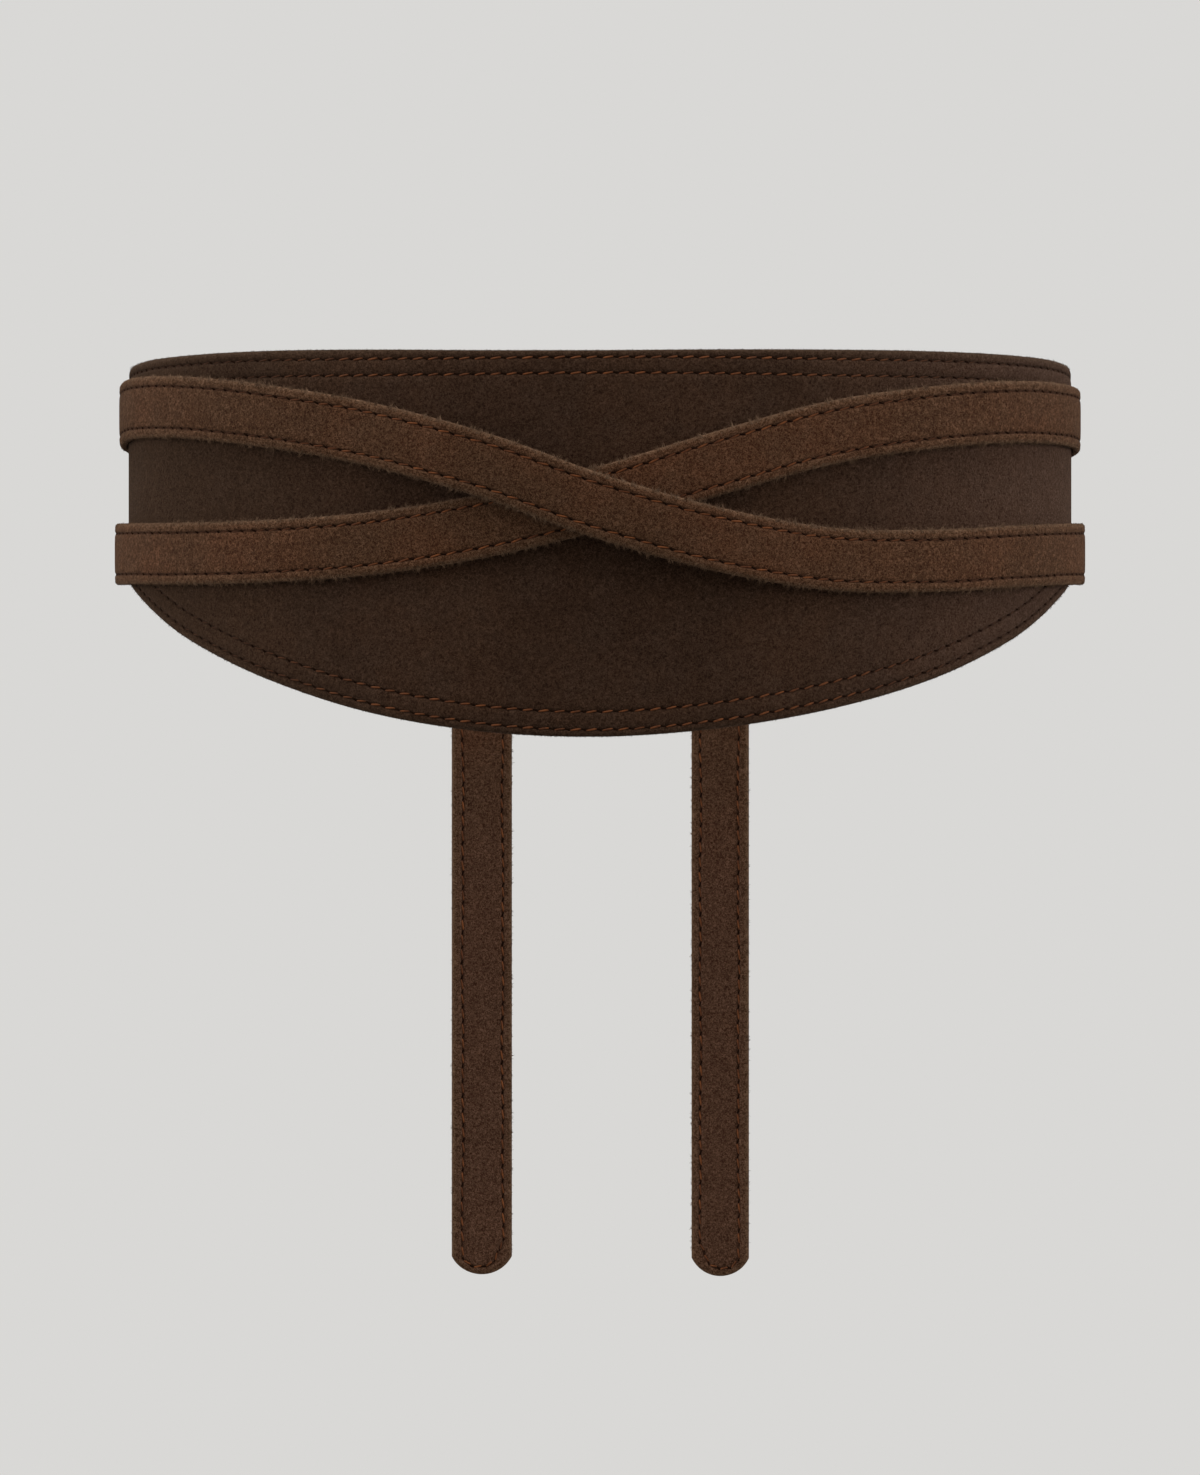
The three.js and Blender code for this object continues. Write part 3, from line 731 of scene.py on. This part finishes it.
corner_angle = math.asin(STRAP_HALF_WIDTH / TAIL_END_RADIUS)
TAIL_CORNER = TAIL_TIP - TAIL_END_RADIUS * (1 - math.cos(corner_angle))
FINE_END = TAIL_TIP - TAIL_FINE_LENGTH
tail_end_path = np.stack([TAIL_TIP - TAIL_END_CORNERS[:, 0], TAIL_END_CORNERS[:, 1]], axis=-1)


def row_across(side, along):
    """Where a long stitch row runs: nearly straight, with a slight waver where the tail hangs."""
    waver = sum(size * np.sin(along * pace + apart * side) for size, pace, apart in ROW_WAVERS)
    on_tail = np.clip((along - FOLD_END) / WAVER_GROWS_OVER, 0.0, 1.0)
    return side * STRAP_STITCH_ACROSS + waver * (WAVER_AT_FRONT + on_tail)


def from_row(along, across):
    """The distance of a point of the strap from the nearest stitch row, round the tail's end too."""
    ends = {-1.0: tail_end_path[0, 0], 1.0: tail_end_path[-1, 0]}
    nearest = np.inf
    for side, end in ends.items():
        past_end = np.maximum(along - end, 0.0)
        nearest = np.minimum(nearest, np.hypot(across - row_across(side, np.minimum(along, end)), past_end))
    for start, stop in zip(tail_end_path, tail_end_path[1:]):
        run = stop - start
        share = ((along - start[0]) * run[0] + (across - start[1]) * run[1]) / (run @ run)
        share = np.clip(share, 0.0, 1.0)
        nearest = np.minimum(nearest, np.hypot(along - start[0] - share * run[0],
                                               across - start[1] - share * run[1]))
    return nearest


def from_strap_edge(along, across):
    """The distance of a point of the strap from its cut edge, round the tail's end too."""
    to_side = STRAP_HALF_WIDTH - np.abs(across)
    to_end = TAIL_END_RADIUS - np.hypot(along - (TAIL_TIP - TAIL_END_RADIUS), across)
    return np.maximum(np.where(along > TAIL_CORNER, np.minimum(to_side, to_end), to_side), 0.0)


def face_depth(along, across):
    """The height of the strap's worked outer face over its flat inner face."""
    edge_press = np.interp(from_strap_edge(along, across), *STRAP_EDGE_PRESS.T)
    groove = np.interp(from_row(along, across), *STRAP_GROOVE_PRESS.T)
    return STRAP_THICKNESS - edge_press - groove


def inside_depth(along, across):
    return np.interp(from_strap_edge(along, across), *STRAP_INSIDE_PRESS.T)


def strap_lines(strap):
    """Where each line across the strap is, how far it leans to the fold, and half the width there."""
    stretches = [
        np.arange(STRAP_START - strap["slide"], FOLD_ARC, STRAP_STEP),
        np.linspace(FOLD_ARC, FOLD_END, FOLD_STEPS, endpoint=False),
        np.linspace(FOLD_END, FINE_END, int((FINE_END - FOLD_END) / STRAP_STEP), endpoint=False),
        np.linspace(FINE_END, TAIL_CORNER, int((TAIL_CORNER - FINE_END) / FINE_STEP)),
    ]
    alongs = np.concatenate(stretches)
    away = np.clip(np.maximum(FOLD_ARC - alongs, alongs - FOLD_END) / FOLD_SHEAR_LENGTH, 0.0, 1.0)
    leans = 1 - away * away * (3 - 2 * away)
    end_angles = np.linspace(corner_angle, TAIL_LAST_ANGLE, TAIL_END_STEPS + 1)[1:]
    end_alongs = TAIL_TIP - TAIL_END_RADIUS * (1 - np.cos(end_angles))
    end_halves = TAIL_END_RADIUS * np.sin(end_angles)
    return (np.concatenate([alongs, end_alongs]),
            np.concatenate([leans, np.zeros(TAIL_END_STEPS)]),
            np.concatenate([np.full(len(alongs), STRAP_HALF_WIDTH), end_halves]))


def strap_skin(name, strap):
    """The strap's wall. Near the tail's end its lines spread evenly, to take the stitching there."""
    alongs, leans, halves = strap_lines(strap)
    even_columns = np.linspace(0.0, EVEN_COLUMNS_END, len(FACE_COLUMNS) - 1)
    even_columns = np.append(even_columns, STRAP_HALF_WIDTH)
    near_end = (alongs - (FINE_END - COLUMNS_SPREAD_OVER)) / COLUMNS_SPREAD_OVER
    near_end = np.clip(near_end, 0.0, 1.0)[:, None]
    face = FACE_COLUMNS + (even_columns - FACE_COLUMNS) * near_end
    inside = np.broadcast_to(INSIDE_COLUMNS, (len(alongs), len(INSIDE_COLUMNS)))
    ring = np.concatenate([-face[:, ::-1], face[:, 1:], inside, -inside[:, -2::-1]], axis=1)
    is_face = np.arange(ring.shape[1]) < 2 * len(FACE_COLUMNS) - 1
    across = ring * (halves / STRAP_HALF_WIDTH)[:, None]
    along = alongs[:, None] - leans[:, None] * across
    straight_along = np.broadcast_to(alongs[:, None], across.shape)
    depth = np.where(is_face, face_depth(straight_along, across), inside_depth(straight_along, across))
    points = strap_place(strap, along, across, depth)
    from_edge = from_strap_edge(straight_along, across)
    # Where the strap's stitch grooves get painted shade, on its outer face only
    groove = np.exp(-(from_row(straight_along, across) / STRAP_GROOVE_WIDTH) ** 2)
    groove = np.where(is_face, groove, 0.0)
    if strap["direction"] < 0:
        points, from_edge, groove = points[:, ::-1], from_edge[:, ::-1], groove[:, ::-1]
    return skin_mesh(name, points, from_edge, groove)


def strap_stitch_rows(strap):
    """Two rows down the strap, a few stitches round the tail's end in short straight runs, and the
    stitches that go to and fro over the joint with the panel's end."""
    rows = []
    for side, last in ((-1.0, tail_end_path[0, 0]), (1.0, tail_end_path[-1, 0])):
        alongs = np.linspace(STRAP_START - strap["slide"] + STRAP_STITCH_START, last, 2400)
        rows.append(evenly(np.stack([alongs, row_across(side, alongs)], axis=-1), STITCH_PITCH))
    runs = [np.linspace(start, stop, 40, endpoint=False)
            for start, stop in zip(tail_end_path, tail_end_path[1:])]
    rows.append(evenly(np.concatenate(runs + [tail_end_path[-1:]]), TAIL_END_PITCH))
    to_and_fro = np.resize([-JOINT_STITCH_REACH, JOINT_STITCH_REACH], JOINT_STITCH_HOLES)
    up_joint = np.linspace(-JOINT_STITCH_HALF, JOINT_STITCH_HALF, JOINT_STITCH_HOLES)
    rows.append(np.stack([STRAP_START - strap["slide"] + to_and_fro, up_joint], axis=-1))
    return rows


STRAP_HAIRS = 34000
LONGEST_HAIR = 0.0014
SHORTEST_HAIR = 0.3
HAIR_RISE_DRAW = (-0.5, 0.4)
HAIR_LEAN = 0.25
# Shares of the strap's thickness between which the hairs have their roots
LOWEST_ROOT = 0.2
HIGHEST_ROOT = 0.95
TUFT_SPACING = 0.0007
TUFT_LEAN = 0.7
SHORTEST_TUFT = 0.3
TUFT_RANGE = 1.3
TUFT_POWER = 1.8
# Fewer and shorter hairs on the tails, none at their tips, and shorter ones where the sash bends round
# the sides
TAIL_HAIR_SHARE = 0.12
TAIL_HAIR_LENGTH = 0.55
HAIRLESS_TIP = 0.0055
SMOOTHED_FROM = 0.105
SMOOTHED_OVER = 0.020
SMOOTHED_BY = 0.7


def strap_hairs(strap, count, seed, longest):
    """Hairs that stand in small tufts out of both cut edges, more of them towards the outer face."""
    draw = np.random.default_rng(seed)
    start = STRAP_START - strap["slide"]
    on_tail = draw.random(count) < TAIL_HAIR_SHARE
    along = np.where(on_tail, draw.uniform(FOLD_END, TAIL_TIP - HAIRLESS_TIP, count),
                     draw.uniform(start, FOLD_END, count))
    side = np.where(draw.random(count) < 0.5, -1.0, 1.0)
    depth = STRAP_THICKNESS * (LOWEST_ROOT + (HIGHEST_ROOT - LOWEST_ROOT) * np.sqrt(draw.random(count)))
    distances, presses = STRAP_EDGE_PRESS[::-1].T
    inward = np.interp(STRAP_THICKNESS - depth, presses, distances)
    across = side * (STRAP_HALF_WIDTH - inward - HAIR_ROOT_SUNK)
    roots = strap_place(strap, along, across, depth)
    beyond = strap_place(strap, along, across + side * HAIR_AIM_STEP, depth)
    above = strap_place(strap, along, across, depth + HAIR_AIM_STEP)
    ahead = strap_place(strap, along + HAIR_AIM_STEP, across, depth)
    tufts = int((TAIL_TIP - start) / TUFT_SPACING) + 1
    tuft = ((along - start) / TUFT_SPACING).astype(int) + tufts * (side > 0)
    tuft_lean = draw.normal(0.0, TUFT_LEAN, 2 * tufts)[tuft][:, None]
    tuft_length = (SHORTEST_TUFT + TUFT_RANGE * draw.random(2 * tufts) ** TUFT_POWER)[tuft]
    aim = (unit(beyond - roots) + unit(above - roots) * draw.uniform(*HAIR_RISE_DRAW, (count, 1))
           + unit(ahead - roots) * (tuft_lean + draw.normal(0.0, HAIR_LEAN, (count, 1))))
    smoothed = np.clip((np.abs(roots[:, 0]) - SMOOTHED_FROM) / SMOOTHED_OVER, 0.0, 1.0)
    shorter = np.where(on_tail, TAIL_HAIR_LENGTH, 1.0) * (1.0 - SMOOTHED_BY * smoothed)
    hair_length = SHORTEST_HAIR + (1 - SHORTEST_HAIR) * draw.random(count)
    return roots, aim, longest * hair_length * tuft_length * shorter


# Each row: arc in the way the strap runs, and the height of its centre line
over_route = np.array([
    (STRAP_START, 0.0080),
    (-0.3472, 0.0198),
    (-0.2600, 0.0277),
    (-0.1740, 0.0348),
    (-0.1500, 0.0364),
    (-0.1200, 0.0357),
    (-0.0900, 0.0327),
    (-0.0600, 0.0277),
    (-0.0300, 0.0197),
    (0.0000, 0.0088),
    (0.0300, 0.0004),
    (0.0600, -0.0043),
    (0.0900, -0.0045),
    (0.1200, -0.0030),
    (0.1500, -0.0018),
    (0.1740, -0.0014),
    (0.2500, -0.0007),
    (0.3300, FOLD_HEIGHT),
])
under_route = np.array([
    (STRAP_START, 0.0080),
    (-0.3472, 0.0198),
    (-0.2600, 0.0268),
    (-0.1740, 0.0336),
    (-0.1500, 0.0346),
    (-0.1200, 0.0346),
    (-0.0900, 0.0324),
    (-0.0600, 0.0280),
    (-0.0300, 0.0199),
    (0.0000, 0.0109),
    (0.0300, 0.0039),
    (0.0600, -0.0004),
    (0.0900, -0.0020),
    (0.1200, -0.0022),
    (0.1500, -0.0017),
    (0.1740, -0.0014),
    (0.2500, -0.0007),
    (0.3300, FOLD_HEIGHT),
])
# Each row: arc in the way the strap runs, and how far out its inner face stands
over_layers = np.array([
    (-0.4675, LAYER_BUTTED),
    (-0.4480, LAYER_ON_PANEL),
    (-0.0680, LAYER_ON_PANEL),
    (-0.0360, LAYER_ON_STRAP),
    (0.0290, LAYER_ON_STRAP),
    (0.0610, LAYER_ON_PANEL),
    (0.1200, LAYER_ON_PANEL),
    (0.1740, LAYER_PUSHED_OUT),
    (0.2220, LAYER_ON_STRAP),
])
under_layers = np.array([
    (-0.2470, LAYER_BUTTED),
    (-0.2270, LAYER_ON_PANEL),
    (0.1200, LAYER_ON_PANEL),
    (0.1740, LAYER_PUSHED_OUT),
    (0.2220, LAYER_ON_PANEL),
])
straps = {
    "strap_under": {"route": under_route, "layers": under_layers, "direction": -1.0, "fold_side": -1.0,
                    "slide": 0.0336, "length": 1.061, "seed": 23},
    "strap_over": {"route": over_route, "layers": over_layers, "direction": 1.0, "fold_side": 1.0,
                   "slide": 0.0315, "length": 1.070, "seed": 37},
}
strap_suede = suede("strap suede", {
    "base": (0.0545, 0.0258, 0.0126),
    "warm": (0.0660, 0.0280, 0.0132),
    "grey": (0.0600, 0.0315, 0.0170),
    # The first row makes the hanging tails greyer; the second is painted shade, a little darker towards the
    # right side
    "by_place": [("Z", -0.03, -0.09, 0.8, (0.0590, 0.0290, 0.0172)),
                 ("X", 0.02, 0.11, 0.25, (0.0500, 0.0232, 0.0110))],
    "grain": 1.8,
    "edge": (0.0850, 0.0470, 0.0260),
    # Painted shade for the stitch grooves
    "groove": (0.0160, 0.0056, 0.0026),
    "border": 0.20,
    "curl_low": (0.80, 0.77, 0.74),
    "curl_high": (1.20, 1.22, 1.25),
    "sheen": (0.90, 0.62, 0.45),
}, sheen_weight=0.06, nap_depth=0.0003)
strap_nap = hair_material("strap nap", (0.062, 0.034, 0.019), (0.128, 0.078, 0.047))
# The last colour is painted shade for the thread at the sides
strap_thread = thread_material("strap thread", (0.150, 0.048, 0.0150), (0.062, 0.021, 0.0085),
                               (0.0400, 0.0150, 0.0065))
for name, strap in straps.items():
    skin = strap_skin(name + "_suede", strap)
    skin.data.materials.append(strap_suede)
    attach(skin, "root")
    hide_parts(name)
    rows = strap_stitch_rows(strap)

    def over_joint(along, strap=strap):
        past_start = along - STRAP_START + strap["slide"]
        panel_stands_over = PANEL_THICKNESS - STRAP_THICKNESS - LAYER_BUTTED
        return (np.where(past_start < JOINT_STITCH_REACH + JUST_PAST, SUNK_AT_SIDES, 0.0)
                + np.where(past_start < 0.0, panel_stands_over, 0.0))

    def on_face(along, across, lift, strap=strap):
        return strap_place(strap, along, across, face_depth(along, across) + lift + over_joint(along))

    def on_inside(along, across, lift, strap=strap):
        return strap_place(strap, along, across, inside_depth(along, across) - lift - over_joint(along))

    slant = strap["direction"] * THREAD_SLANT
    stitches = stitch_mesh(name + "_stitches", on_face, rows, THREAD_RISE, slant)
    back = stitch_mesh(name + "_back_stitches", on_inside, rows, THREAD_RISE, -slant)
    for piece in (stitches, back):
        piece.data.materials.append(strap_thread)
        piece.data.materials.append(needle_hole_shade)
        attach(piece, "root")
    hairs = hair_mesh(name + "_edge_nap", *strap_hairs(strap, STRAP_HAIRS, strap["seed"], LONGEST_HAIR))
    hairs.data.materials.append(strap_nap)
    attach(hairs, "root")


# The back keeper: a plain loop of the same suede round both straps at the centre of the back, which
# keeps them one on the other where they pass. It is hidden from the front.
KEEPER_HALF_WIDTH = 0.006
KEEPER_THICKNESS = 0.0016
KEEPER_CORNER = 0.0022
KEEPER_INNER_CORNER = 0.0006
KEEPER_CORNER_STEPS = 6
keeper_low, keeper_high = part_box("back_keeper")
outer_half_depth = (keeper_high.y - keeper_low.y) / 2
outer_half_height = (keeper_high.z - keeper_low.z) / 2
keeper_middle_y = (keeper_high.y + keeper_low.y) / 2
keeper_middle_z = (keeper_high.z + keeper_low.z) / 2


def loop_outline(half_depth, half_height, corner):
    """A rectangle with round corners, as a ring of points."""
    centres = ((1, 1), (-1, 1), (-1, -1), (1, -1))
    points = []
    for quarter, (y_side, z_side) in enumerate(centres):
        for angle in np.linspace(quarter, quarter + 1, KEEPER_CORNER_STEPS) * math.pi / 2:
            points.append((y_side * (half_depth - corner) + corner * math.cos(angle),
                           z_side * (half_height - corner) + corner * math.sin(angle)))
    return np.array(points)


# Each row: share of the half width, and how far the face is rounded off there
keeper_across = ((-1.0, 0.0006), (-0.96, 0.0002), (-0.88, 0.0), (-0.5, 0.0), (0.0, 0.0),
                 (0.5, 0.0), (0.88, 0.0), (0.96, 0.0002), (1.0, 0.0006))
# Each entry: share of the half width, and the outline there
outlines = [(share, loop_outline(outer_half_depth - rounding, outer_half_height - rounding,
                                 KEEPER_CORNER - rounding)) for share, rounding in keeper_across]
inner_outline = loop_outline(outer_half_depth - KEEPER_THICKNESS, outer_half_height - KEEPER_THICKNESS,
                             KEEPER_INNER_CORNER)
outlines += [(share, inner_outline) for share in (1.0, 0.0, -1.0)]
loop = np.array([[(share * KEEPER_HALF_WIDTH, keeper_middle_y + y, keeper_middle_z + z) for y, z in outline]
                 for share, outline in outlines])
sides, corners = loop.shape[:2]
grid = np.arange(sides * corners).reshape(sides, corners)
next_side, next_corner = np.roll(grid, -1, 0), np.roll(grid, -1, 1)
keeper_faces = np.stack([grid, next_corner, np.roll(next_side, -1, 1), next_side], axis=-1).reshape(-1, 4)
keeper_mesh = bpy.data.meshes.new("back_keeper_suede")
keeper_mesh.from_pydata(loop.reshape(-1, 3).tolist(), [], keeper_faces.tolist())
edge_share = [1.0 - abs(share) for share, _ in keeper_across] + [0.0, 1.0, 0.0]
keeper_from_edge = np.array(edge_share) * KEEPER_HALF_WIDTH
for layer_name, values in (("from_edge", keeper_from_edge), ("in_groove", np.zeros(sides))):
    layer = keeper_mesh.attributes.new(layer_name, "FLOAT", "POINT")
    layer.data.foreach_set("value", np.repeat(values, corners))
keeper_mesh.polygons.foreach_set("use_smooth", [True] * len(keeper_faces))
keeper_mesh.update()
keeper = add_piece("back_keeper_suede", keeper_mesh)
keeper.data.materials.append(strap_suede)
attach(keeper, "root")
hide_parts("back_keeper")


# The studio: a pale grey surround, a pale floor as far below as it is from a waist, and soft light from
# above and from both sides. The surround lights the sash from above more than from below.
BACKGROUND = (0.694, 0.687, 0.672, 1.0)
SURROUND_BELOW = 0.16
SURROUND_ABOVE = 0.80
FLOOR_HEIGHT = -1.05
FLOOR_RADIUS = 1.4
world = bpy.data.worlds.new("studio")
world.use_nodes = True
studio = world.node_tree
seen = studio.nodes["Background"]
seen.inputs["Color"].default_value = BACKGROUND
lighting = node(studio, "ShaderNodeBackground", Color=(1.0, 0.99, 0.97, 1.0))
direction = node(studio, "ShaderNodeSeparateXYZ")
studio.links.new(node(studio, "ShaderNodeTexCoord").outputs["Generated"], direction.inputs[0])
studio.links.new(between(studio, direction.outputs["Z"], -0.4, 0.7, SURROUND_BELOW, SURROUND_ABOVE),
                 lighting.inputs["Strength"])
which = node(studio, "ShaderNodeMixShader")
studio.links.new(node(studio, "ShaderNodeLightPath").outputs["Is Camera Ray"], which.inputs[0])
studio.links.new(lighting.outputs[0], which.inputs[1])
studio.links.new(seen.outputs[0], which.inputs[2])
studio.links.new(which.outputs[0], studio.nodes["World Output"].inputs["Surface"])
bpy.context.scene.world = world
bpy.context.scene.view_settings.view_transform = "Standard"
bpy.ops.mesh.primitive_circle_add(vertices=96, radius=FLOOR_RADIUS, fill_type="NGON",
                                  location=(0.0, 0.0, FLOOR_HEIGHT))
floor = bpy.context.object
floor.name = "floor"
floor_paint = bpy.data.materials.new("pale floor")
floor_paint.use_nodes = True
floor_shader = floor_paint.node_tree.nodes["Principled BSDF"]
floor_shader.inputs["Base Color"].default_value = (0.46, 0.455, 0.445, 1.0)
floor_shader.inputs["Roughness"].default_value = 1.0
floor.data.materials.append(floor_paint)
# Each row: name, place, size, power in watts
for light_name, place, size, power in (
    ("overhead light", (0.0, -0.45, 1.6), 1.0, 30.0),
    ("left light", (-2.0, -0.2, 0.45), 1.0, 27.0),
    ("right light", (2.0, -0.2, 0.45), 1.0, 28.0),
):
    light_data = bpy.data.lights.new(light_name, "AREA")
    light_data.size = size
    light_data.energy = power
    light = bpy.data.objects.new(light_name, light_data)
    light.location = place
    towards = -np.array(place)
    light.rotation_euler = (math.atan2(math.hypot(towards[0], towards[1]), -towards[2]), 0.0,
                            math.atan2(towards[1], towards[0]) - math.pi / 2)
    bpy.context.collection.objects.link(light)
